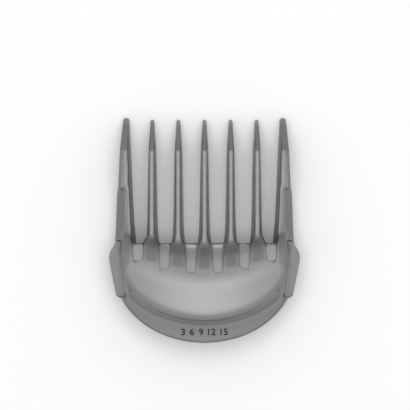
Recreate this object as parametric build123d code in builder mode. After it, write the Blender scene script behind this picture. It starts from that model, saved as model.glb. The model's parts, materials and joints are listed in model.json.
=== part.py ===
"""Clip-on guide comb of a hair clipper: a moulded hood and skirt with seven long teeth and two clip arms.

The comb lies with its skin face on z = 0, its teeth point along +Y and the hood's crown faces +Z.
Sizes are in millimetres.
"""

import os
from math import cos, radians, sin, tan

from build123d import *

os.makedirs("parts", exist_ok=True)

# Length along Y: the rim of the skirt lies at the rear end, the outer teeth at the front end.
overall_length = 55.5
skirt_depth = 6.5
crown_length = 6.6
hood_height = 21.0
hood_wall = 1.7

# Shape of the hood: a brow that rolls down to the teeth, an arch across and a bay at its front.
brow_radius = 9.8
brow_slope = 60.0
brow_foot = 0.95
arch_drop = 3.75
bay_depth = 6.06
hood_half_width = 20.3
hood_rear_reach = 15.2
collar_tilt = 21.7
crease_round = 0.8

# Skirt behind the hood, a flared band from the hood's wall down to the rim.
skirt_wall = 2.0
skirt_ledge = 0.5
skirt_rise = 1.4
flare_step = 2.2
flare_height = 5.2
rim_overhang = 1.9
rim_reach = 17.6
rim_drop = 2.0
rim_tilt = 14.0
rim_band = 0.7
skirt_front_gap = 2.7

# Inner teeth: five fins with a narrow ridge on a wider foot.
inner_teeth = 5
outer_tooth_inset = 0.8
inner_tip_setback = 0.4
tip_length = 7.75
heel_length = 12.2
tip_lift = 1.3
tip_depth = 1.5
crease_height = 10.8
root_rise = 0.6
tip_foot_half = 0.52
tip_ridge_half = 0.36
tip_round = 0.3
crease_foot_half = 1.0
ridge_half = 0.68
flare_foot_half = 1.33
neck_foot_half = 1.5
neck_ridge_half = 0.75
root_foot_half = 1.85
root_ridge_half = 0.95
flare_length = 5.6
neck_length = 1.9
web_depth = 5.2
web_half = 1.3

# Fingers of the hood over the roots of the teeth, with slots sunk into its face between them.
finger_rear_width = 4.2
finger_mouth_width = 3.6
slot_depth = 7.0
slot_bay = 4.3
slot_corner = 0.3
slot_recess = 0.7
lip_height = 0.5
lip_depth = 2.5

# Cheeks: the outer teeth with the side walls behind them.
cheek_tip_inset = 1.6
cheek_crease_inset = 2.0
cheek_step_inset = 2.4
cheek_flare_inset = 2.8
cheek_root_inset = 3.3
cheek_tip_width = 1.6
cheek_crease_width = 2.65
cheek_step_width = 3.45
cheek_root_width = 5.2
cheek_step = 0.4
cheek_tip_length = 7.9
cheek_tip_round = 0.55
cheek_step_setback = 5.2
cheek_ridge_width = 0.6
cheek_rise = 1.6
cheek_draft = 0.05
shoulder_draft = 0.1
front_shoulder = 0.35
rear_shoulder = 6.2
tip_shoulder = 0.3
cheek_web_width = 2.5

# Cross bar that ties the teeth together at the skin face.
bar_depth = 8.7
bar_thickness = 1.8
bar_chamfer = 0.5
bar_tongue = 0.55

# Clip arms: sprung side walls that turn about a knuckle behind each cheek.
knuckle_radius = 1.05
knuckle_clearance = 0.06
knuckle_outset = 0.7
knuckle_setback = 0.4
hood_clearance = 0.5
arm_length = 12.4
arm_end_outset = 1.4
arm_bulge = 1.45
arm_bulge_reach = 3.2
arm_bulge_sagitta = 0.4
arm_bulge_thickness = 3.0
arm_thickness = 2.1
arm_lift = 0.5
arm_rise = 4.1
arm_bevel_height = 3.9
arm_bevel_width = 3.1
arm_nose_drop = 3.8
arm_slit = 0.2

# Guide rails and catches on the inner faces of the clip arms.
rail_depth = 1.1
rail_thickness = 1.3
rail_drop = 4.4
rail_front_gap = 0.6
rail_end_gap = 1.2
catch_depth = 1.2
catch_length = 2.4
catch_height = 2.6
catch_gap = 1.2
catch_end_gap = 0.8

# Locating ribs under the crown, in line with the second slot from each side.
rib_thickness = 1.2
rib_front_gap = 1.2
rib_rear_gap = 3.2

# Places along Y that several pieces share.
rim_y = -overall_length / 2
tip_y = overall_length / 2
crease_y = rim_y + skirt_depth
brow_y = crease_y + crown_length
slope = radians(brow_slope)
straight_drop = arch_drop + brow_foot
hood_front_y = brow_y + brow_radius * sin(slope) + straight_drop / tan(slope)
hood_centre_y = crease_y + hood_rear_reach
bar_rear_y = hood_front_y - bar_depth
web_rear_y = hood_front_y - web_depth
inner_tip_y = tip_y - inner_tip_setback
tip_crease_y = inner_tip_y - tip_length
heel_y = inner_tip_y - heel_length
flare_y = hood_front_y + flare_length
neck_y = hood_front_y + neck_length
cheek_step_y = heel_y - cheek_step_setback
knuckle_y = hood_front_y - knuckle_setback
arm_end_y = knuckle_y - arm_length
bulge_y = knuckle_y - arm_bulge_reach
skirt_front_y = hood_centre_y - skirt_front_gap
spare = 5.0
on_outline = 0.01

# Distances from the middle of the comb: teeth, cheeks, clip arms and rim follow the hood's width.
outer_tooth_x = hood_half_width - outer_tooth_inset
tooth_pitch = 2 * outer_tooth_x / (inner_teeth + 1)
slot_rear_width = tooth_pitch - finger_rear_width
slot_mouth_width = tooth_pitch - finger_mouth_width
cheek_tip_inner = hood_half_width - cheek_tip_inset
cheek_crease_inner = hood_half_width - cheek_crease_inset
cheek_step_inner = hood_half_width - cheek_step_inset
cheek_flare_inner = hood_half_width - cheek_flare_inset
cheek_root_inner = hood_half_width - cheek_root_inset
cheek_tip_outer = cheek_tip_inner + cheek_tip_width
cheek_crease_outer = cheek_crease_inner + cheek_crease_width
cheek_step_outer = cheek_step_inner + cheek_step_width
cheek_root_outer = cheek_root_inner + cheek_root_width
bar_half_width = cheek_root_inner + bar_tongue
knuckle_x = hood_half_width + knuckle_outset
arm_end_x = hood_half_width + arm_end_outset
bulge_x = knuckle_x + knuckle_radius + arm_bulge
rim_half_width = hood_half_width + rim_overhang

# Heights: rim, clip arms, rails and catches follow the foot of the hood.
foot_z = hood_height - brow_radius * (1 - cos(slope)) - straight_drop
root_z = foot_z + root_rise
rim_height = foot_z - rim_drop
arm_height = foot_z + arm_rise
arm_nose_height = arm_height - arm_nose_drop
rail_height = foot_z - rail_drop
catch_bottom = rail_height - catch_gap - catch_height

# Sloped front of the clip arms, from the knuckle's front up to the full height at the bulge.
arm_nose_y = knuckle_y + knuckle_radius
arm_nose_plane = Plane(
    origin=(0, arm_nose_y, arm_nose_height),
    x_dir=(1, 0, 0),
    z_dir=(0, arm_height - arm_nose_height, arm_nose_y - bulge_y),
)


def between(y, rear_y, rear_value, front_y, front_value):
    """Value at y on the straight line from the rear value to the front value."""
    return rear_value + (front_value - rear_value) * (y - rear_y) / (front_y - rear_y)


def hood_section(x, inset):
    """Side profile of the hood at one distance from the middle, moved in by inset."""
    top = hood_height - inset - arch_drop * (x / hood_half_width) ** 2
    brow_start = brow_y + bay_depth * (x / hood_half_width) ** 2
    radius = brow_radius - inset
    brow_end = (brow_start + radius * sin(slope), top - radius * (1 - cos(slope)))
    brow_middle = (brow_start + radius * sin(slope / 2), top - radius * (1 - cos(slope / 2)))
    front = (brow_end[0] + (brow_end[1] - foot_z) / tan(slope), foot_z)
    with BuildSketch(Plane.YZ.offset(x)) as section:
        with BuildLine():
            Polyline((rim_y, foot_z), (rim_y, top), (brow_start, top))
            ThreePointArc((brow_start, top), brow_middle, brow_end)
            Polyline(brow_end, front, (rim_y, foot_z))
        make_face()
    return section.sketch


def hood_plan(inset):
    """Outline of the hood seen from above, moved in by inset: half an ellipse with straight sides."""
    half_width = hood_half_width - inset
    front_y = hood_front_y + bay_depth + spare
    with BuildSketch(Plane.XY.offset(foot_z)) as plan:
        with BuildLine():
            EllipticalCenterArc(
                (0, hood_centre_y),
                half_width,
                hood_rear_reach - inset,
                start_angle=180,
                arc_size=180,
            )
            Polyline(
                (half_width, hood_centre_y),
                (half_width, front_y),
                (-half_width, front_y),
                (-half_width, hood_centre_y),
            )
        make_face()
    return plan.sketch


def hood_volume(inset):
    """Solid under the hood's outer face, or under a face inset from it."""
    half_width = hood_half_width - inset
    stations = [half_width * step for step in (-1, -0.5, 0, 0.5, 1)]
    with BuildPart() as volume:
        loft([hood_section(x, inset) for x in stations])
        extrude(hood_plan(inset), amount=hood_height, mode=Mode.INTERSECT)
    return volume.part


def tilted(centre_y, height, tilt):
    """Plane across the comb at a height, leaning up towards the rear."""
    return Plane(
        origin=(0, centre_y, height),
        x_dir=(1, 0, 0),
        z_dir=(0, sin(radians(tilt)), cos(radians(tilt))),
    )


collar_plane = tilted(hood_front_y, foot_z, collar_tilt)


def skirt_volume(inset):
    """Bell shape under the skirt's outer face, or under a face inset from it."""
    collar_height = foot_z + (hood_front_y - hood_centre_y) * tan(radians(collar_tilt)) + skirt_rise
    upper_half = hood_half_width + skirt_ledge
    upper_reach = hood_rear_reach + skirt_ledge
    rim_centre_y = rim_y + rim_reach
    middle_y = rim_centre_y + (hood_centre_y - rim_centre_y) / 2
    middle_reach = middle_y - crease_y + flare_step
    upper = tilted(hood_centre_y, collar_height, collar_tilt)
    middle = tilted(middle_y, collar_height - flare_height / 2, (collar_tilt + rim_tilt) / 2)
    lower = tilted(rim_centre_y, rim_height, rim_tilt)
    with BuildPart() as bell:
        with BuildSketch(upper):
            Ellipse(upper_half - inset, (upper_reach - inset) / cos(radians(collar_tilt)))
        with BuildSketch(middle):
            Ellipse(
                (upper_half + rim_half_width) / 2 - inset,
                (middle_reach - inset) / cos(radians((collar_tilt + rim_tilt) / 2)),
            )
        with BuildSketch(lower):
            Ellipse(rim_half_width - inset, (rim_reach - inset) / cos(radians(rim_tilt)))
        loft()
        extrude(bell.faces().sort_by(Axis.Z)[0], amount=rim_band, dir=(0, 0, -1))
    return bell.part


def slot_end_y(x):
    """Rear end of the slot whose middle is at x."""
    return hood_front_y - slot_depth + slot_bay * (x / hood_half_width) ** 2


def tooth_section(x, y, foot_half, top_half, bottom, top):
    """Cross-section of an inner tooth at one station along the comb."""
    with BuildSketch(Plane.XZ.offset(-y)) as section:
        with BuildLine():
            Polyline(
                (x - foot_half, bottom),
                (x + foot_half, bottom),
                (x + top_half, top),
                (x - top_half, top),
                close=True,
            )
        make_face()
    return section.sketch


def cheek_section(side, y, inner, outer, shoulder, bottom, top):
    """Cross-section of a cheek at one station along the comb."""
    ridge_inner = inner + cheek_draft * (top - bottom)
    with BuildSketch(Plane.XZ.offset(-y)) as section:
        with BuildLine():
            Polyline(
                (side * inner, bottom),
                (side * outer, bottom),
                (side * (outer - shoulder_draft), top - shoulder),
                (side * (ridge_inner + cheek_ridge_width), top),
                (side * ridge_inner, top),
                close=True,
            )
        make_face()
    return section.sketch


def arm_inner_x(y):
    """Distance of a clip arm's inner face from the middle of the comb."""
    return between(y, arm_end_y, arm_end_x - arm_thickness, bulge_y, bulge_x - arm_bulge_thickness)


def arm_bevel_plane(side):
    """Plane of the sloped top of a clip arm, along its outer face."""
    along = Vector(side * (arm_end_x - bulge_x), arm_end_y - bulge_y, 0)
    outward = Vector(-along.Y, along.X, 0).normalized() * side
    return Plane(
        origin=(side * bulge_x, bulge_y, arm_height - arm_bevel_height),
        x_dir=along,
        z_dir=outward * arm_bevel_height + Vector(0, 0, arm_bevel_width),
    )


def arm_plan(side, gap):
    """Outline of a clip arm seen from above, grown by gap."""
    start = (side * (knuckle_x + knuckle_radius), knuckle_y)
    bulge = (side * bulge_x, bulge_y)
    with BuildSketch(Plane.XY.offset(arm_lift)) as plan:
        with BuildLine():
            SagittaArc(start, bulge, side * arm_bulge_sagitta)
            Polyline(
                bulge,
                (side * arm_end_x, arm_end_y),
                (side * arm_inner_x(arm_end_y), arm_end_y),
                (side * arm_inner_x(bulge_y), bulge_y),
                (side * (knuckle_x - knuckle_radius), knuckle_y),
                start,
            )
        make_face()
        with Locations((side * knuckle_x, knuckle_y)):
            Circle(knuckle_radius)
        if gap > 0:
            offset(amount=gap)
    return plan.sketch


outline = hood_plan(0).wire()


def follows_outline(edge):
    """Whether an edge lies on the hood's outline as seen from above."""
    points = [edge @ share for share in (0.1, 0.5, 0.9)]
    return all(outline.distance_to(Vertex(point.X, point.Y, foot_z)) < on_outline for point in points)


with BuildPart() as hood_block:
    add(hood_volume(0))
    fillet(hood_block.edges().filter_by(GeomType.BSPLINE).filter_by(follows_outline), crease_round)
    split(bisect_by=collar_plane, keep=Keep.TOP)

with BuildPart() as hood_hollow:
    add(hood_volume(hood_wall))

# Floor of the slots: a face sunk into the hood's wall, which ends in a low, straight lip.
with BuildPart() as slot_floor:
    add(hood_volume(slot_recess))
    with BuildSketch(Plane.XY.offset(foot_z)):
        with Locations((0, hood_front_y)):
            Rectangle(2 * hood_half_width, lip_depth, align=(Align.CENTER, Align.MAX))
    extrude(amount=lip_height)
    split(bisect_by=Plane.XZ.offset(-hood_front_y), keep=Keep.TOP)

# Slots lie midway between the teeth.
slot_places = [(step - inner_teeth / 2) * tooth_pitch for step in range(inner_teeth + 1)]


def slot_volume(slot_x):
    """Space of the slot whose middle is at slot_x, from its floor up."""
    rear_y = slot_end_y(slot_x)
    mouth_half = between(flare_y, rear_y, slot_rear_width, hood_front_y, slot_mouth_width) / 2
    with BuildPart() as space:
        with BuildSketch(Plane.XY) as plan:
            with BuildLine():
                Polyline(
                    (slot_x - mouth_half, flare_y),
                    (slot_x - slot_rear_width / 2, rear_y),
                    (slot_x + slot_rear_width / 2, rear_y),
                    (slot_x + mouth_half, flare_y),
                    close=True,
                )
            make_face()
            fillet(plan.vertices().group_by(Axis.Y)[0], slot_corner)
        extrude(amount=hood_height + spare)
        add(slot_floor.part, mode=Mode.SUBTRACT)
    return space.part


with BuildPart() as hood:
    add(hood_block.part)
    add(hood_hollow.part, mode=Mode.SUBTRACT)
    for slot_x in slot_places:
        add(slot_volume(slot_x), mode=Mode.SUBTRACT)
hood.part.label = "hood"
export_step(hood.part, "parts/hood.step")

with BuildPart() as cross_bar:
    with BuildSketch(Plane.XY):
        with Locations((0, bar_rear_y)):
            Rectangle(2 * bar_half_width, bar_depth, align=(Align.CENTER, Align.MIN))
    extrude(amount=bar_thickness)
    front_edge = cross_bar.edges().filter_by(Axis.X).group_by(Axis.Z)[-1].sort_by(Axis.Y)[-1]
    chamfer(front_edge, bar_chamfer)
cross_bar.part.label = "cross_bar"
export_step(cross_bar.part, "parts/cross_bar.step")


def ridge_height(y):
    """Height of a tooth's ridge behind its tip crease."""
    return between(y, hood_front_y, root_z, tip_crease_y, crease_height)


heel_foot_half = between(heel_y, flare_y, flare_foot_half, tip_crease_y, crease_foot_half)
crease_lift = between(tip_crease_y, heel_y, 0, inner_tip_y, tip_lift)
# Stations of an inner tooth from its tip back to the rear of its web.
tooth_stations = [
    (inner_tip_y, tip_foot_half, tip_ridge_half, tip_lift, tip_lift + tip_depth),
    (tip_crease_y, crease_foot_half, ridge_half, crease_lift, crease_height),
    (heel_y, heel_foot_half, ridge_half, 0, ridge_height(heel_y)),
    (flare_y, flare_foot_half, ridge_half, 0, ridge_height(flare_y)),
    (neck_y, neck_foot_half, neck_ridge_half, 0, ridge_height(neck_y)),
    (hood_front_y, root_foot_half, root_ridge_half, 0, root_z),
    (web_rear_y, root_foot_half, root_ridge_half, 0, root_z),
]

for number in range(1, inner_teeth + 1):
    tooth_x = (number - (inner_teeth + 1) / 2) * tooth_pitch
    with BuildPart() as web:
        with BuildSketch(Plane.XY.offset(foot_z)):
            with Locations((tooth_x, web_rear_y)):
                Rectangle(2 * web_half, web_depth + spare, align=(Align.CENTER, Align.MIN))
        extrude(amount=hood_height)
        add(hood_hollow.part, mode=Mode.INTERSECT)
    with BuildPart() as tooth:
        loft([tooth_section(tooth_x, *station) for station in tooth_stations], ruled=True)
        fillet(tooth.faces().sort_by(Axis.Y)[-1].edges(), tip_round)
        add(web.part)
        add(hood.part, mode=Mode.SUBTRACT)
        add(cross_bar.part, mode=Mode.SUBTRACT)
    tooth.part.label = f"tooth_{number}"
    export_step(tooth.part, f"parts/tooth_{number}.step")

# Stations of a cheek: the outer tooth in front of the step, the side wall behind it.
cheek_crease_y = tip_y - cheek_tip_length
cheek_crease_lift = between(cheek_crease_y, heel_y, 0, tip_y, tip_lift)
step_z = ridge_height(cheek_step_y)
cheek_flare_z = between(flare_y, hood_front_y, root_z + cheek_rise, cheek_step_y, step_z)
cheek_rear_outer = cheek_step_outer + cheek_step
cheek_heel_inner = between(heel_y, cheek_step_y, cheek_step_inner, cheek_crease_y, cheek_crease_inner)
cheek_heel_outer = between(heel_y, cheek_step_y, cheek_step_outer, cheek_crease_y, cheek_crease_outer)
cheek_flare_outer = between(flare_y, hood_front_y, cheek_root_outer, cheek_step_y, cheek_rear_outer)
cheek_front_stations = [
    (tip_y, cheek_tip_inner, cheek_tip_outer, tip_shoulder, tip_lift, tip_lift + tip_depth),
    (
        cheek_crease_y,
        cheek_crease_inner,
        cheek_crease_outer,
        front_shoulder,
        cheek_crease_lift,
        ridge_height(cheek_crease_y),
    ),
    (heel_y, cheek_heel_inner, cheek_heel_outer, front_shoulder, 0, ridge_height(heel_y)),
    (cheek_step_y, cheek_step_inner, cheek_step_outer, front_shoulder, 0, step_z),
]
cheek_rear_stations = [
    (cheek_step_y, cheek_step_inner, cheek_rear_outer, rear_shoulder, 0, step_z),
    (flare_y, cheek_flare_inner, cheek_flare_outer, rear_shoulder, 0, cheek_flare_z),
    (hood_front_y, cheek_root_inner, cheek_root_outer, rear_shoulder, 0, root_z + cheek_rise),
]

for side, side_name in ((-1, "left"), (1, "right")):
    web_x = side * (cheek_root_inner + cheek_web_width / 2)
    with BuildPart() as cheek_web:
        with BuildSketch(Plane.XY.offset(foot_z)):
            with Locations((web_x, web_rear_y)):
                Rectangle(cheek_web_width, web_depth + spare, align=(Align.CENTER, Align.MIN))
        extrude(amount=hood_height)
        add(hood_hollow.part, mode=Mode.INTERSECT)
    with BuildPart() as cheek:
        loft([cheek_section(side, *station) for station in cheek_front_stations], ruled=True)
        fillet(cheek.faces().sort_by(Axis.Y)[-1].edges(), cheek_tip_round)
        loft([cheek_section(side, *station) for station in cheek_rear_stations], ruled=True)
        with BuildSketch(Plane.XY):
            with Locations((web_x, web_rear_y)):
                Rectangle(cheek_web_width, web_depth, align=(Align.CENTER, Align.MIN))
        extrude(amount=root_z)
        add(cheek_web.part)
        add(hood.part, mode=Mode.SUBTRACT)
        add(cross_bar.part, mode=Mode.SUBTRACT)
        with BuildSketch(Plane.XY):
            with Locations((side * knuckle_x, knuckle_y)):
                Circle(knuckle_radius + knuckle_clearance)
        extrude(amount=hood_height, mode=Mode.SUBTRACT)
    cheek.part.label = f"{side_name}_cheek"
    export_step(cheek.part, f"parts/{side_name}_cheek.step")

    with BuildPart() as clip_arm:
        extrude(arm_plan(side, 0), amount=arm_height - arm_lift)
        split(bisect_by=arm_bevel_plane(side), keep=Keep.BOTTOM)
        split(bisect_by=arm_nose_plane, keep=Keep.BOTTOM)
        with BuildSketch(Plane.XY.offset(foot_z - hood_clearance)):
            add(hood_plan(-arm_slit))
        extrude(amount=hood_height, mode=Mode.SUBTRACT)
    clip_arm.part.label = f"{side_name}_clip_arm"
    export_step(clip_arm.part, f"parts/{side_name}_clip_arm.step")

    rail_front_y = web_rear_y - rail_front_gap
    rail_rear_y = arm_end_y + rail_end_gap
    with BuildPart() as guide_rail:
        with BuildSketch(Plane.XY.offset(rail_height)):
            with BuildLine():
                Polyline(
                    (side * arm_inner_x(rail_front_y), rail_front_y),
                    (side * arm_inner_x(rail_rear_y), rail_rear_y),
                    (side * (arm_inner_x(rail_rear_y) - rail_depth), rail_rear_y),
                    (side * (arm_inner_x(rail_front_y) - rail_depth), rail_front_y),
                    close=True,
                )
            make_face()
        extrude(amount=rail_thickness)
    guide_rail.part.label = f"{side_name}_guide_rail"
    export_step(guide_rail.part, f"parts/{side_name}_guide_rail.step")

    catch_rear_y = arm_end_y + catch_end_gap
    catch_front_y = catch_rear_y + catch_length
    catch_peak_y = (catch_front_y + catch_rear_y) / 2
    with BuildPart() as catch:
        with BuildSketch(Plane.XY.offset(catch_bottom)):
            with BuildLine():
                ThreePointArc(
                    (side * arm_inner_x(catch_front_y), catch_front_y),
                    (side * (arm_inner_x(catch_peak_y) - catch_depth), catch_peak_y),
                    (side * arm_inner_x(catch_rear_y), catch_rear_y),
                )
                Line(
                    (side * arm_inner_x(catch_rear_y), catch_rear_y),
                    (side * arm_inner_x(catch_front_y), catch_front_y),
                )
            make_face()
        extrude(amount=catch_height)
    catch.part.label = f"{side_name}_catch"
    export_step(catch.part, f"parts/{side_name}_catch.step")

    rib_x = side * slot_places[-2]
    rib_front_y = slot_end_y(rib_x) - rib_front_gap
    rib_rear_y = crease_y + rib_rear_gap
    with BuildPart() as crown_rib:
        with BuildSketch(Plane.XY.offset(foot_z)):
            with Locations((rib_x, rib_rear_y)):
                Rectangle(rib_thickness, rib_front_y - rib_rear_y, align=(Align.CENTER, Align.MIN))
        extrude(amount=hood_height)
        add(hood_hollow.part, mode=Mode.INTERSECT)
        split(bisect_by=collar_plane, keep=Keep.TOP)
    crown_rib.part.label = f"{side_name}_crown_rib"
    export_step(crown_rib.part, f"parts/{side_name}_crown_rib.step")

with BuildPart() as skirt:
    add(skirt_volume(0))
    add(skirt_volume(skirt_wall), mode=Mode.SUBTRACT)
    add(hood_block.part, mode=Mode.SUBTRACT)
    for side in (-1, 1):
        extrude(arm_plan(side, arm_slit), amount=hood_height + spare, mode=Mode.SUBTRACT)
    split(bisect_by=Plane.XZ.offset(-skirt_front_y), keep=Keep.TOP)
skirt.part.label = "skirt"
export_step(skirt.part, "parts/skirt.step")
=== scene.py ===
"""Looks of the clip-on guide comb: smoky moulded plastic on a white floor, seen straight from above.

Lengths are in metres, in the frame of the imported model: teeth along +Y, skin face on z = 0.
"""

import json

import bmesh
import bpy
import numpy as np
from mathutils import Matrix, Vector
from mathutils.bvhtree import BVHTree
from mathutils.kdtree import KDTree

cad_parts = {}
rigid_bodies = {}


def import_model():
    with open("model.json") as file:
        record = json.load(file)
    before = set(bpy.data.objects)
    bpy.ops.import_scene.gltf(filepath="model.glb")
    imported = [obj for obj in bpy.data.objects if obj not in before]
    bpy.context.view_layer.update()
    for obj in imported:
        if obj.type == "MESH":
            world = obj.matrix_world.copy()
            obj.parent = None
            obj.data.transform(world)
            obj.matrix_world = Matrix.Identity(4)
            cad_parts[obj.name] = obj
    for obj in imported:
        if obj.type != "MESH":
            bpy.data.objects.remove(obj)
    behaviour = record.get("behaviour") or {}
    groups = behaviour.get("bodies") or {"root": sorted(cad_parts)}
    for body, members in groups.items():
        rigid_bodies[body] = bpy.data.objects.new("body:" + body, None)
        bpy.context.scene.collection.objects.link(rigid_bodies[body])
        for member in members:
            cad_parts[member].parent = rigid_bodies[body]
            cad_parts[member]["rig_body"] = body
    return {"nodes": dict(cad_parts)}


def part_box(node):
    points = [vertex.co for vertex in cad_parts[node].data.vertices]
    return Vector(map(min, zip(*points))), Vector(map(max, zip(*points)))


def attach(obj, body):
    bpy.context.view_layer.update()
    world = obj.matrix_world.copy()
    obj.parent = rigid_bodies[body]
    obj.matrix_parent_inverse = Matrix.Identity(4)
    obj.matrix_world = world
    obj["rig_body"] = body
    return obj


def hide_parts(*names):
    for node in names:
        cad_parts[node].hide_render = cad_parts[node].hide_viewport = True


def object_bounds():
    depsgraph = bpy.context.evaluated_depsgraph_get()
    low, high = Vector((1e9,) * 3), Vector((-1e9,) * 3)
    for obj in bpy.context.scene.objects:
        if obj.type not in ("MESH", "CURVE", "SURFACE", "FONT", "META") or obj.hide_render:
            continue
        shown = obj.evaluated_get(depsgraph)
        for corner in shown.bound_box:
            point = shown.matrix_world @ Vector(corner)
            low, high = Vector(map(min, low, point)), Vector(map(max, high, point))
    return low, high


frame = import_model()
cad_low, cad_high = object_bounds()

mm = 0.001

# Camera straight above the comb, with the field that the photograph has at mid height.
view_x = 0.12 * mm
view_y = 6.09 * mm
view_field = 100.9 * mm
view_distance = 620 * mm
mid_height = 10 * mm

# Skins: the size of their net, and how close two points of a CAD mesh are when they are one.
moulding_voxel = 0.22 * mm
rib_voxel = 0.17 * mm
small_voxel = 0.09 * mm
weld_distance = 0.001 * mm

# Rounding: passes over edges, passes that fill corners, passes between two looks at the normals.
edge_passes = 6
tooth_passes = 18
rim_passes = 14
slot_passes = 3
corner_passes = 40
blend_passes = 160
normal_steps = 5
sharp_angle = 0.9

# Zones with a rounding of their own: the sides and rear, the teeth's roots, the hood's slots and the tips.
blend_x = 17.4 * mm
blend_y = -14.5 * mm
blend_ahead = 4.5 * mm
root_reach = 5 * mm
slot_reach = 1.6 * mm
slot_depth = 7.2 * mm
slot_bay = 4.3 * mm
tip_reach = 2 * mm

# Cuts that part the fused skin into its pieces. The slits are at an arm's front, along it and at its rear.
cut_ahead = 2.4 * mm
arm_margin = 0.05 * mm
arm_slits = (0.2 * mm, 0.03 * mm, 0.1 * mm)
arm_front = 1.1 * mm
arm_rear = 0.1 * mm
arm_facing = 0.5
slit_fill = 0.25 * mm
skirt_gap = 2.65 * mm
hood_rear_reach = 15.2 * mm
hood_seam = 0.45 * mm
hood_arc_points = 181
collar_slope = 0.398
tool_height = 40 * mm
tool_half = 60 * mm
tool_reach = 3 * mm

# Plain numbers of the length scale printed on the skirt. font_weld is in the font's own units.
mark_numbers = (3, 6, 9, 12, 15)
mark_gap = 1.15 * mm
mark_height = 1.6 * mm
mark_y = -24.9 * mm
mark_film = 0.03 * mm
mark_edge = 0.25 * mm
mark_weight = 0.06 * mm
font_weld = 0.001

# Light and floor.
floor_size = 3.0
floor_white = (0.9, 0.9, 0.9, 1)
floor_roughness = 0.9
floor_gloss = 0.1
softbox_size = 0.5
softbox_height = 0.6
softbox_shift = 0.04
softbox_power = 2.1
world_strength = 0.61

# Painted shade and light by steepness: colours painted on steep, sloped and level faces, darker on steep faces
# and lighter on level ones as an overhead light would leave them, and the normal's upward share at each.
painted_shade_steep = (0.095, 0.095, 0.096)
painted_shade_sloped = (0.165, 0.165, 0.167)
painted_light_level = (0.26, 0.26, 0.263)
painted_shade_steps = (0.3, 0.6, 0.97)

# Painted light and shade by depth of plastic, as a share of the deepest: thin walls are painted lighter, as if
# lit through, and deep walls painted darker.
painted_glow_thin = (0.34, 0.34, 0.344)
painted_shade_deep = (0.62, 0.62, 0.625)
painted_glow_range = (0.34, 0.14)
painted_shade_range = (0.58, 0.98)
wall_start = 0.05 * mm
deepest_wall = 4.5 * mm
wall_passes = 12

# Painted light and shade in some zones: depth shares chosen for the tone that some zones have in the
# photograph, lighter in the slots and on the wings, darker on the fingers, the skirt's outer band and rim, the
# cheeks and the tips, and where these zones are.
slot_wall = 0.2
finger_wall = 0.9
finger_setback = 1.2 * mm
rim_wall = 3.5
rim_slope = 0.6
rim_ring = 1.1
band_wall = 0.7
band_ring = 1.18
wing_wall = 0.305
wing_x = 20.8 * mm
cheek_wall = 1.2
cheek_x = 19.8 * mm
cheek_rear_y = 0
cheek_front_y = 10 * mm
tip_wall = 1.2
tip_y = 19.6 * mm

# Flow marks, haze and mould grain of the plastic, its gloss, and how far light spreads in it.
flow_stretch = (1, 0.3, 1)
flow_scale = 160
flow_drift = 0.06
haze_scale = 700
haze_roughness = (0.28, 0.46)
grain_scale = 5000
grain_strength = 0.25
grain_depth = 0.01 * mm
plastic_ior = 1.5
plastic_gloss = 0.9
scatter_share = 0.2
scatter_depth = 0.5 * mm

# Printing ink.
ink_dark = (0.012, 0.012, 0.013)
ink_light = (0.03, 0.03, 0.031)
ink_scale = 2500
ink_roughness = (0.55, 0.75)

tooth_names = [f"tooth_{number}" for number in range(1, 6)]
cheek_names = ["left_cheek", "right_cheek"]
hood_front_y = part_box("cross_bar")[1].y
tooth_places = np.array([(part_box(name)[0].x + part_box(name)[1].x) / 2 for name in tooth_names])
tooth_pitch = tooth_places[1] - tooth_places[0]
slot_places = tooth_places[2:] + tooth_pitch / 2
hood_half_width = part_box("hood")[1].x
hood_foot_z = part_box("hood")[0].z
hood_centre_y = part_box("hood")[0].y + hood_rear_reach


def linked(name, data):
    """A new object in the scene."""
    thing = bpy.data.objects.new(name, data)
    bpy.context.scene.collection.objects.link(thing)
    return thing


def piece_from(node, mesh, body):
    """The shown piece that rides on a body and stands for a CAD node."""
    piece = linked(f"{node}_skin", mesh)
    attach(piece, body)
    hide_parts(node)
    return piece


def joined_mesh(parts):
    """One mesh with the shapes of several CAD nodes, each moved by an offset."""
    mesh = bpy.data.meshes.new("joined")
    joined = bmesh.new()
    for node, offset in parts:
        shape = frame["nodes"][node].data.copy()
        shape.transform(Matrix.Translation(offset))
        joined.from_mesh(shape)
    bmesh.ops.remove_doubles(joined, verts=joined.verts, dist=weld_distance)
    joined.to_mesh(mesh)
    joined.free()
    return mesh


def result_of(holder):
    """The mesh of an object with its modifiers applied. The object is removed."""
    depsgraph = bpy.context.evaluated_depsgraph_get()
    mesh = bpy.data.meshes.new_from_object(holder.evaluated_get(depsgraph))
    bpy.data.objects.remove(holder)
    return mesh


def remeshed(mesh, voxel):
    """The outer skin of a mesh as an even net of small faces."""
    holder = linked("holder", mesh)
    remesh = holder.modifiers.new("skin", "REMESH")
    remesh.mode = "VOXEL"
    remesh.voxel_size = voxel
    remesh.use_smooth_shade = True
    return result_of(holder)


def cut(mesh, tool, operation):
    """The part of a mesh inside a closed tool (INTERSECT) or outside of it (DIFFERENCE)."""
    holder = linked("holder", mesh)
    knife = linked("knife", tool)
    boolean = holder.modifiers.new("cut", "BOOLEAN")
    boolean.operation = operation
    boolean.solver = "MANIFOLD"
    boolean.object = knife
    part = result_of(holder)
    bpy.data.objects.remove(knife)
    return part


def points_of(mesh):
    """The places of a mesh's points."""
    points = np.empty(len(mesh.vertices) * 3)
    mesh.vertices.foreach_get("co", points)
    return points.reshape(-1, 3)


def normals_of(mesh):
    """The directions that a mesh faces at its points."""
    normals = np.empty(len(mesh.vertices) * 3)
    mesh.vertices.foreach_get("normal", normals)
    return normals.reshape(-1, 3)


def neighbours(mesh):
    """The two ends of each edge of a mesh, and the number of edges at each point."""
    ends = np.empty(len(mesh.edges) * 2, int)
    mesh.edges.foreach_get("vertices", ends)
    start, end = ends.reshape(-1, 2).T
    count = len(mesh.vertices)
    return start, end, np.bincount(start, minlength=count) + np.bincount(end, minlength=count)


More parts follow.
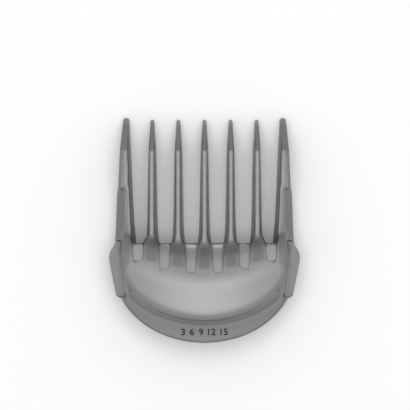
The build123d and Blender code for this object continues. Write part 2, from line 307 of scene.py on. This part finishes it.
def smoothed(mesh, passes, corners_only=False):
    """Rounds a mesh by moving points towards their neighbours, each for its passes, or only out of corners."""
    points = points_of(mesh)
    count = len(points)
    passes = np.broadcast_to(passes, count)
    start, end, valence = neighbours(mesh)
    normals = np.empty(count * 3)
    for step in range(passes.max()):
        middle = np.empty_like(points)
        for axis in range(3):
            total = np.bincount(start, points[end, axis], count)
            total += np.bincount(end, points[start, axis], count)
            middle[:, axis] = total / valence
        move = (middle - points) / 2
        moving = passes > step
        if corners_only:
            if step % normal_steps == 0:
                mesh.vertices.foreach_set("co", points.ravel())
                mesh.update()
                mesh.vertices.foreach_get("normal", normals)
            moving &= np.sum(move * normals.reshape(-1, 3), axis=1) > 0
        points += move * moving[:, None]
    mesh.vertices.foreach_set("co", points.ravel())
    mesh.update()
    return mesh


def prism(outline, low, high):
    """A closed mesh over an outline seen from above, from a height that follows y up to a level top."""
    count = len(outline)
    points = [(x, y, low(y)) for x, y in outline] + [(x, y, high) for x, y in outline]
    walls = [(i, (i + 1) % count, (i + 1) % count + count, i + count) for i in range(count)]
    ends = [tuple(reversed(range(count))), tuple(range(count, 2 * count))]
    mesh = bpy.data.meshes.new("prism")
    mesh.from_pydata(points, [], walls + ends)
    return mesh


def arm_tool(side, margins):
    """Space of a clip arm with margins at its front, along it and at its rear, open upwards and outwards."""
    outward = -1 if side == "left" else 1
    shape = bmesh.new()
    shape.from_mesh(frame["nodes"][f"{side}_clip_arm"].data)
    bmesh.ops.remove_doubles(shape, verts=shape.verts, dist=weld_distance)
    for face in shape.faces:
        face.smooth = False
    for vert in shape.verts:
        if vert.co.z > hood_foot_z:
            vert.co.z = tool_height
    shape.normal_update()
    rear_y, front_y = (corner.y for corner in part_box(f"{side}_clip_arm"))
    front_margin, side_margin, rear_margin = margins
    moves = []
    for vert in shape.verts:
        margin = side_margin
        if vert.co.y > front_y - arm_front:
            margin = front_margin
        elif vert.co.y < rear_y + arm_rear:
            margin = rear_margin
        move = vert.normal * vert.calc_shell_factor() * margin
        if vert.normal.x * outward > arm_facing:
            move.x += outward * tool_reach
        moves.append(move)
    for vert, move in zip(shape.verts, moves):
        vert.co += move
    mesh = bpy.data.meshes.new("arm_tool")
    shape.to_mesh(mesh)
    shape.free()
    return mesh


def skirt_tool():
    """Space of the skirt: behind the cheeks, outside the hood's outline and under its collar."""
    rear = hood_centre_y - skirt_gap
    box = [(-tool_half, -tool_half), (tool_half, -tool_half), (tool_half, rear), (-tool_half, rear)]
    steps = np.linspace(np.pi, 2 * np.pi, hood_arc_points)
    half_width = hood_half_width + hood_seam
    reach = hood_rear_reach + hood_seam
    arc = [(half_width * np.cos(step), hood_centre_y + reach * np.sin(step)) for step in steps]
    outline = arc + [(half_width, tool_half), (-half_width, tool_half)]
    hood_space = prism(outline, lambda y: hood_foot_z + (hood_front_y - y) * collar_slope, tool_height)
    return cut(prism(box, lambda y: -tool_height, tool_height - mm), hood_space, "DIFFERENCE")


def halves(mesh, plane_y):
    """The closed parts of a mesh in front of and behind a plane across the comb."""
    parts = []
    for front in (True, False):
        half = bmesh.new()
        half.from_mesh(mesh)
        cut_edges = bmesh.ops.bisect_plane(
            half,
            geom=half.verts[:] + half.edges[:] + half.faces[:],
            plane_co=(0, plane_y, 0),
            plane_no=(0, 1, 0),
            clear_inner=front,
            clear_outer=not front,
        )["geom_cut"]
        rim = [item for item in cut_edges if isinstance(item, bmesh.types.BMEdge)]
        bmesh.ops.triangle_fill(half, edges=rim, use_dissolve=False)
        parts.append(half)
    return parts


def islands(whole):
    """The loose parts of a mesh, as lists of faces."""
    left = set(whole.faces)
    found = []
    while left:
        queue = [left.pop()]
        island = []
        while queue:
            face = queue.pop()
            island.append(face)
            for edge in face.edges:
                for other in edge.link_faces:
                    if other in left:
                        left.remove(other)
                        queue.append(other)
        found.append(island)
    return found


def mesh_of(whole, faces):
    """A mesh of some faces of another."""
    kept = set(faces)
    part = whole.copy()
    part.faces.ensure_lookup_table()
    whole.faces.index_update()
    doomed = [part.faces[face.index] for face in whole.faces if face not in kept]
    bmesh.ops.delete(part, geom=doomed, context="FACES")
    mesh = bpy.data.meshes.new("part")
    part.to_mesh(mesh)
    part.free()
    return mesh


def shade_smooth(mesh):
    """Rounds the shading, apart from sharp edges and the faces of cuts."""
    smooth = np.empty(len(mesh.polygons), bool)
    mesh.polygons.foreach_get("use_smooth", smooth)
    mesh.set_sharp_from_angle(angle=sharp_angle)
    mesh.polygons.foreach_set("use_smooth", smooth)
    return mesh


def fused_skin():
    """Hood, skirt, teeth, cheeks and clip arms as one skin, with filled corners and rounded edges."""
    still = Vector()
    parts = [(node, still) for node in ("hood", "skirt", *tooth_names, *cheek_names)]
    for side, inward in (("left", 1), ("right", -1)):
        moves = (still, Vector((inward * slit_fill, 0, 0)), Vector((0, -slit_fill, 0)))
        parts += [(f"{side}_clip_arm", move) for move in moves]
    skin = remeshed(joined_mesh(parts), moulding_voxel)
    x, y = points_of(skin).T[:2]
    aside = ((np.abs(x) > blend_x) | (y < blend_y)) & (y < hood_front_y + blend_ahead)
    from_slot = np.abs(np.abs(x)[:, None] - slot_places).min(axis=1)
    slot_rear_y = hood_front_y - slot_depth + slot_bay * (x / hood_half_width) ** 2
    slots = (from_slot < slot_reach) & (y < hood_front_y) & (y > slot_rear_y)
    roots = (np.abs(y - hood_front_y) < root_reach) & ~slots
    fill = np.where(aside | roots, blend_passes, corner_passes)
    skin = smoothed(skin, np.where(slots, slot_passes, fill), corners_only=True)
    teeth = (y > hood_front_y) & (y < cad_high.y - tip_reach)
    edges = np.where(teeth | roots, tooth_passes, np.where(aside, rim_passes, edge_passes))
    skin = smoothed(skin, np.where(slots, slot_passes, edges))
    # Zones whose depth share is set for painted shade (fingers, skirt band, rim, cheeks, tips) or painted
    # light (slots, wings).
    fingers = ~aside & ~slots & (y < hood_front_y) & (y > slot_rear_y + finger_setback)
    ring = np.hypot(x / hood_half_width, (y - hood_centre_y) / hood_rear_reach)
    arm_low, arm_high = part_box("right_clip_arm")
    behind = (y < blend_y) & (np.abs(x) < arm_low.x)
    rim = behind & (ring > rim_ring) & (np.abs(normals_of(skin)[:, 2]) < rim_slope)
    wings = (np.abs(x) > wing_x) & (y > arm_low.y) & (y < arm_high.y)
    cheeks = (np.abs(x) > cheek_x) & (y > cheek_rear_y) & (y < cheek_front_y)
    tips = (y > tip_y) & (y < cad_high.y - tip_reach)
    chosen = (
        (slots, slot_wall),
        (fingers, finger_wall),
        (behind & (ring > band_ring), band_wall),
        (rim, rim_wall),
        (wings, wing_wall),
        (cheeks, cheek_wall),
        (tips, tip_wall),
    )
    mark_walls(skin, chosen)
    return skin


def made_moulding():
    """The fused skin parted into clip arms, skirt, hood, teeth and cheeks."""
    skin = fused_skin()
    pieces = []
    rest = skin
    for side in ("left", "right"):
        arm = cut(rest, arm_tool(side, [arm_margin] * 3), "INTERSECT")
        rest = cut(rest, arm_tool(side, [arm_margin + slit for slit in arm_slits]), "DIFFERENCE")
        pieces.append(piece_from(f"{side}_clip_arm", shade_smooth(arm), f"{side}_clip"))
    tool = skirt_tool()
    skirt = cut(rest, tool, "INTERSECT")
    rest = cut(rest, tool, "DIFFERENCE")
    pieces.append(piece_from("skirt", shade_smooth(skirt), "comb"))
    front, rear = halves(rest, hood_front_y + cut_ahead)
    fronts = sorted(islands(front), key=lambda faces: faces[0].calc_center_median().x)
    names = [cheek_names[0], *tooth_names, cheek_names[1]]
    for name, faces in zip(names, fronts):
        pieces.append(piece_from(name, shade_smooth(mesh_of(front, faces)), "comb"))
    hood = bpy.data.meshes.new("hood_skin")
    rear.to_mesh(hood)
    pieces.append(piece_from("hood", shade_smooth(hood), "comb"))
    front.free()
    rear.free()
    match_skin(pieces, skin)
    return pieces


def made_alone(node, voxel, passes):
    """The skin of one CAD node, with its edges rounded."""
    skin = smoothed(remeshed(joined_mesh([(node, Vector())]), voxel), passes)
    mark_walls(skin)
    return piece_from(node, shade_smooth(skin), frame["nodes"][node]["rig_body"])


def surface_of(mesh):
    """A search tree of a mesh's faces."""
    return BVHTree.FromPolygons(
        [vert.co for vert in mesh.vertices],
        [face.vertices for face in mesh.polygons],
    )


def store_walls(mesh, walls):
    """Keeps a depth share on each point of a mesh, which its material turns into painted light and shade."""
    if "wall" in mesh.attributes:
        mesh.attributes.remove(mesh.attributes["wall"])
    mesh.attributes.new("wall", "FLOAT", "POINT").data.foreach_set("value", walls.astype(np.float32))


def mark_walls(mesh, chosen=()):
    """Stores how deep the plastic under each point is, as a share of the deepest, or a zone's chosen share,
    for the painted light and shade of the material.
    """
    surface = surface_of(mesh)
    walls = np.ones(len(mesh.vertices), np.float32)
    for vert in mesh.vertices:
        below = vert.co - vert.normal * wall_start
        spot, normal, index, distance = surface.ray_cast(below, -vert.normal, deepest_wall)
        if spot is not None:
            walls[vert.index] = min((distance + wall_start) / deepest_wall, 1)
    # Zones get a chosen share instead, which paints light or shade there.
    for zone, share in chosen:
        walls[zone] = share
    start, end, valence = neighbours(mesh)
    count = len(walls)
    for step in range(wall_passes):
        total = np.bincount(start, walls[end], count) + np.bincount(end, walls[start], count)
        walls = (walls + total / valence) / 2
    store_walls(mesh, walls)


def match_skin(pieces, skin):
    """Gives the pieces of a skin the depth shares for painted light and shade and the shading of the whole, so
    that no seams show.
    """
    walls = np.empty(len(skin.vertices), np.float32)
    skin.attributes["wall"].data.foreach_get("value", walls)
    normals = normals_of(skin)
    tree = KDTree(len(walls))
    for vert in skin.vertices:
        tree.insert(vert.co, vert.index)
    tree.balance()
    for piece in pieces:
        mesh = piece.data
        nearest = [tree.find(vert.co)[1] for vert in mesh.vertices]
        outside = np.empty(len(mesh.polygons), bool)
        mesh.polygons.foreach_get("use_smooth", outside)
        sizes = np.empty(len(mesh.polygons), int)
        mesh.polygons.foreach_get("loop_total", sizes)
        corners = np.empty(len(mesh.loops), int)
        mesh.loops.foreach_get("vertex_index", corners)
        # A corner with no direction, on the face of a cut, keeps the direction of its face.
        mesh.normals_split_custom_set(normals[nearest][corners] * np.repeat(outside, sizes)[:, None])
        store_walls(mesh, walls[nearest])


def node_maker(material):
    """Short form to add a node to a material and set its inputs."""
    tree = material.node_tree

    def add(kind, **inputs):
        node = tree.nodes.new(kind)
        for name, value in inputs.items():
            socket = node.inputs[name.replace("_", " ")]
            if isinstance(value, bpy.types.NodeSocket):
                tree.links.new(value, socket)
            else:
                socket.default_value = value
        return node

    return add


def mix_colours(add, factor, first, second, blend="MIX"):
    """The mix of two colours, each a plain colour or another node's output."""
    mix = add("ShaderNodeMix", Factor=factor)
    mix.data_type = "RGBA"
    mix.blend_type = blend
    for colour, socket in ((first, mix.inputs[6]), (second, mix.inputs[7])):
        if isinstance(colour, bpy.types.NodeSocket):
            mix.id_data.links.new(colour, socket)
        else:
            socket.default_value = (*colour, 1)
    return mix.outputs[2]


def smoke_plastic():
    """Smoky moulded plastic with painted shade on steep faces and deep walls, painted light on level faces and
    thin walls, flow marks and a fine mould grain.
    """
    material = bpy.data.materials.new("smoke_plastic")
    material.use_nodes = True
    add = node_maker(material)
    links = material.node_tree.links
    shader = material.node_tree.nodes["Principled BSDF"]
    place = add("ShaderNodeTexCoord").outputs["Object"]
    stretched = add("ShaderNodeMapping", Vector=place, Scale=flow_stretch).outputs["Vector"]
    flow = add("ShaderNodeTexNoise", Vector=stretched, Scale=flow_scale, Detail=3, Roughness=0.5)
    # Painted shade and light by steepness: steep faces painted darker, level faces lighter, as an overhead
    # light would leave them.
    upward = add("ShaderNodeSeparateXYZ", Vector=add("ShaderNodeNewGeometry").outputs["Normal"])
    drift = add("ShaderNodeMapRange", Value=flow.outputs["Fac"], To_Min=-flow_drift, To_Max=flow_drift)
    level = add("ShaderNodeMath")
    links.new(upward.outputs["Z"], level.inputs[0])
    links.new(drift.outputs["Result"], level.inputs[1])
    painted_slope_shade = add("ShaderNodeValToRGB", Fac=level.outputs["Value"])
    shaded_steep_end, lit_level_end = painted_slope_shade.color_ramp.elements
    shaded_steep_end.position, sloped_at, lit_level_end.position = painted_shade_steps
    shaded_steep_end.color = (*painted_shade_steep, 1)
    lit_level_end.color = (*painted_light_level, 1)
    painted_slope_shade.color_ramp.elements.new(sloped_at).color = (*painted_shade_sloped, 1)
    wall = add("ShaderNodeAttribute")
    wall.attribute_name = "wall"
    depth = wall.outputs["Fac"]
    # Painted light on thin walls and painted shade on deep walls, from the stored depth share.
    thin = add("ShaderNodeMapRange", Value=depth, From_Min=painted_glow_range[0], From_Max=painted_glow_range[1])
    deep = add("ShaderNodeMapRange", Value=depth, From_Min=painted_shade_range[0], From_Max=painted_shade_range[1])
    tone = mix_colours(add, thin.outputs["Result"], painted_slope_shade.outputs["Color"], painted_glow_thin)
    tone = mix_colours(add, deep.outputs["Result"], tone, painted_shade_deep, "MULTIPLY")
    links.new(tone, shader.inputs["Base Color"])
    haze = add("ShaderNodeTexNoise", Vector=place, Scale=haze_scale, Detail=4, Roughness=0.6)
    smooth, rough = haze_roughness
    gloss = add("ShaderNodeMapRange", Value=haze.outputs["Fac"], To_Min=smooth, To_Max=rough)
    links.new(gloss.outputs["Result"], shader.inputs["Roughness"])
    grain = add("ShaderNodeTexNoise", Vector=place, Scale=grain_scale, Detail=2)
    bump = add("ShaderNodeBump", Height=grain.outputs["Fac"], Strength=grain_strength, Distance=grain_depth)
    links.new(bump.outputs["Normal"], shader.inputs["Normal"])
    shader.inputs["IOR"].default_value = plastic_ior
    shader.inputs["Specular IOR Level"].default_value = plastic_gloss
    shader.inputs["Subsurface Weight"].default_value = scatter_share
    shader.inputs["Subsurface Radius"].default_value = (1, 1, 1)
    shader.inputs["Subsurface Scale"].default_value = scatter_depth
    return material


def mark_ink():
    """Matt printing ink, a little uneven."""
    material = bpy.data.materials.new("mark_ink")
    material.use_nodes = True
    add = node_maker(material)
    links = material.node_tree.links
    shader = material.node_tree.nodes["Principled BSDF"]
    place = add("ShaderNodeTexCoord").outputs["Object"]
    patches = add("ShaderNodeTexNoise", Vector=place, Scale=ink_scale, Detail=3)
    tone = add("ShaderNodeValToRGB", Fac=patches.outputs["Fac"])
    tone.color_ramp.elements[0].color = (*ink_dark, 1)
    tone.color_ramp.elements[1].color = (*ink_light, 1)
    links.new(tone.outputs["Color"], shader.inputs["Base Color"])
    smooth, rough = ink_roughness
    gloss = add("ShaderNodeMapRange", Value=patches.outputs["Fac"], To_Min=smooth, To_Max=rough)
    links.new(gloss.outputs["Result"], shader.inputs["Roughness"])
    return material


def number_mesh(number):
    """A number as a flat mesh with its middle at the origin and strokes a little heavier than the font's."""
    letters = bpy.data.curves.new("number", "FONT")
    letters.body = str(number)
    letters.align_x = "CENTER"
    flat = bmesh.new()
    flat.from_mesh(result_of(linked("holder", letters)))
    bmesh.ops.remove_doubles(flat, verts=flat.verts, dist=font_weld)
    heights = [vert.co.y for vert in flat.verts]
    scale = mark_height / (max(heights) - min(heights))
    bmesh.ops.translate(flat, verts=flat.verts, vec=(0, -(max(heights) + min(heights)) / 2, 0))
    bmesh.ops.scale(flat, verts=flat.verts, vec=(scale, scale, scale))
    bmesh.ops.triangulate(flat, faces=flat.faces)
    moves = {}
    for edge in flat.edges:
        if edge.is_boundary:
            along = (edge.verts[1].co - edge.verts[0].co).normalized()
            out = edge.verts[0].co - edge.link_faces[0].calc_center_median()
            out = (out - along * out.dot(along)).normalized()
            for vert in edge.verts:
                moves[vert] = moves.get(vert, Vector()) + out
    for vert, out in moves.items():
        vert.co += out.normalized() * mark_weight
    return flat


def made_mark(skirt):
    """Numbers printed on the skirt, as a thin film that follows its surface."""
    surface = surface_of(skirt.data)
    film = bmesh.new()
    numbers = [number_mesh(number) for number in mark_numbers]
    spans = [[vert.co.x for vert in flat.verts] for flat in numbers]
    left = -(sum(max(span) - min(span) for span in spans) + mark_gap * (len(spans) - 1)) / 2
    for flat, span in zip(numbers, spans):
        bmesh.ops.translate(flat, verts=flat.verts, vec=(left - min(span), mark_y, 0))
        left += max(span) - min(span) + mark_gap
        long_edges = [edge for edge in flat.edges if edge.calc_length() > mark_edge]
        while long_edges:
            bmesh.ops.subdivide_edges(flat, edges=long_edges, cuts=1)
            bmesh.ops.triangulate(flat, faces=flat.faces)
            long_edges = [edge for edge in flat.edges if edge.calc_length() > mark_edge]
        mesh = bpy.data.meshes.new("digits")
        flat.to_mesh(mesh)
        film.from_mesh(mesh)
        flat.free()
    top = film.verts[:]
    base = bmesh.ops.extrude_face_region(film, geom=film.faces[:], use_keep_orig=True)["geom"]
    base = [item for item in base if isinstance(item, bmesh.types.BMVert)]
    for verts, height in ((top, mark_film), (base, -mark_film)):
        for vert in verts:
            above = Vector((vert.co.x, vert.co.y, tool_height))
            spot, normal, index, distance = surface.ray_cast(above, Vector((0, 0, -1)))
            vert.co = spot + normal * height
    bmesh.ops.recalc_face_normals(film, faces=film.faces)
    mesh = bpy.data.meshes.new("length_numbers")
    film.to_mesh(mesh)
    film.free()
    mark = linked("length_numbers", mesh)
    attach(mark, "comb")
    return mark


def add_camera():
    """Camera at the photograph's view."""
    data = bpy.data.cameras.new("camera")
    camera = linked("camera", data)
    camera.location = (view_x, view_y, mid_height + view_distance)
    data.lens = data.sensor_width * view_distance / view_field
    bpy.context.scene.camera = camera


def add_floor():
    """A plain white floor."""
    half = floor_size / 2
    corners = [(-half, -half, 0), (half, -half, 0), (half, half, 0), (-half, half, 0)]
    mesh = bpy.data.meshes.new("floor")
    mesh.from_pydata(corners, [], [(0, 1, 2, 3)])
    floor = linked("floor", mesh)
    material = bpy.data.materials.new("floor_white")
    material.use_nodes = True
    shader = material.node_tree.nodes["Principled BSDF"]
    shader.inputs["Base Color"].default_value = floor_white
    shader.inputs["Roughness"].default_value = floor_roughness
    shader.inputs["Specular IOR Level"].default_value = floor_gloss
    mesh.materials.append(material)


def add_light():
    """A wide softbox overhead and a pale room round it."""
    data = bpy.data.lights.new("softbox", "AREA")
    data.shape = "DISK"
    data.size = softbox_size
    data.energy = softbox_power
    softbox = linked("softbox", data)
    softbox.location = (view_x, view_y + softbox_shift, softbox_height)
    softbox.visible_camera = False
    world = bpy.data.worlds.new("room")
    world.use_nodes = True
    backdrop = world.node_tree.nodes["Background"]
    backdrop.inputs["Color"].default_value = (1, 1, 1, 1)
    backdrop.inputs["Strength"].default_value = world_strength
    bpy.context.scene.world = world
    bpy.context.scene.view_settings.view_transform = "Standard"


add_camera()
add_floor()
add_light()
plastic = smoke_plastic()
shown = made_moulding()
shown.append(made_alone("cross_bar", moulding_voxel, edge_passes))
for side in ("left", "right"):
    shown.append(made_alone(f"{side}_crown_rib", rib_voxel, edge_passes))
    shown.append(made_alone(f"{side}_guide_rail", small_voxel, edge_passes))
    shown.append(made_alone(f"{side}_catch", small_voxel, edge_passes))
for piece in shown:
    piece.data.materials.clear()
    piece.data.materials.append(plastic)

mark = made_mark(bpy.data.objects["skirt_skin"])
mark.data.materials.append(mark_ink())
